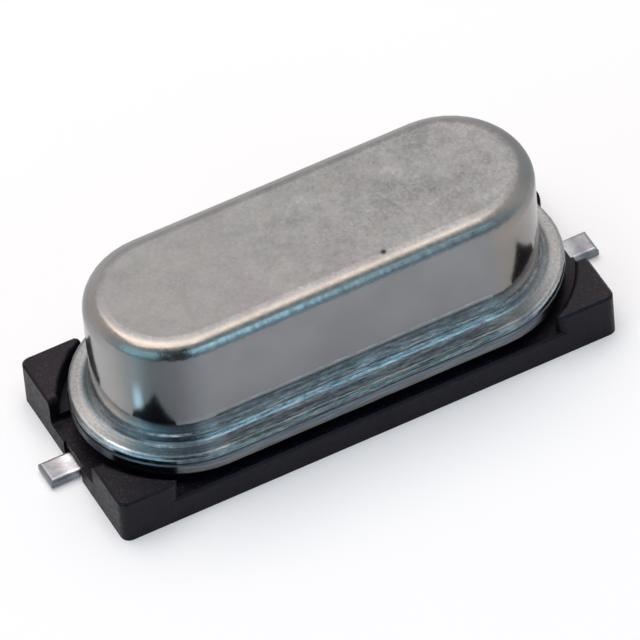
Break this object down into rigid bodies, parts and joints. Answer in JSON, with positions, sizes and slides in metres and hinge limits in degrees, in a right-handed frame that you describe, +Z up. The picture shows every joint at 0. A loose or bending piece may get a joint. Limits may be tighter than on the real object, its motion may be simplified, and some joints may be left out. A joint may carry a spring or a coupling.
{
  "type": "quartz crystal unit",
  "caption": "Low metal-cased quartz crystal with an obround welded cover, flat outward leads and a moulded surface-mount base with corner posts.",
  "frame": {"origin": "centre of the seating plane under the base", "axes": "+X along the case and the leads, +Y across it, +Z up out of the board"},
  "size_m": [0.0126, 0.0046, 0.0041],
  "materials": {
    "nickel_cover": "satin nickel plate, fine mottled top, polished side wall",
    "nickel_header": "nickel plate, sheared rim",
    "seal_glass": "fused, smooth",
    "tinned_wire": "hot-dipped tin, satin",
    "clip_strip": "rolled spring strip",
    "quartz": "lapped and etched, faintly frosted",
    "silver_film": "evaporated silver",
    "conductive_adhesive": "silver-filled epoxy, dull",
    "base_plastic": "moulded black, fine grain"
  },
  "bodies": {
    "root": {"cover": "nickel_cover", "header_plate": "nickel_header", "glass_seal_left": "seal_glass", "glass_seal_right": "seal_glass", "lead_left": "tinned_wire", "lead_right": "tinned_wire", "mount_clip_left": "clip_strip", "mount_clip_right": "clip_strip", "quartz_blank": "quartz", "electrode_front": "silver_film", "electrode_back": "silver_film", "adhesive_left": "conductive_adhesive", "adhesive_right": "conductive_adhesive", "insulator_base": "base_plastic"}
  },
  "joints": []
}
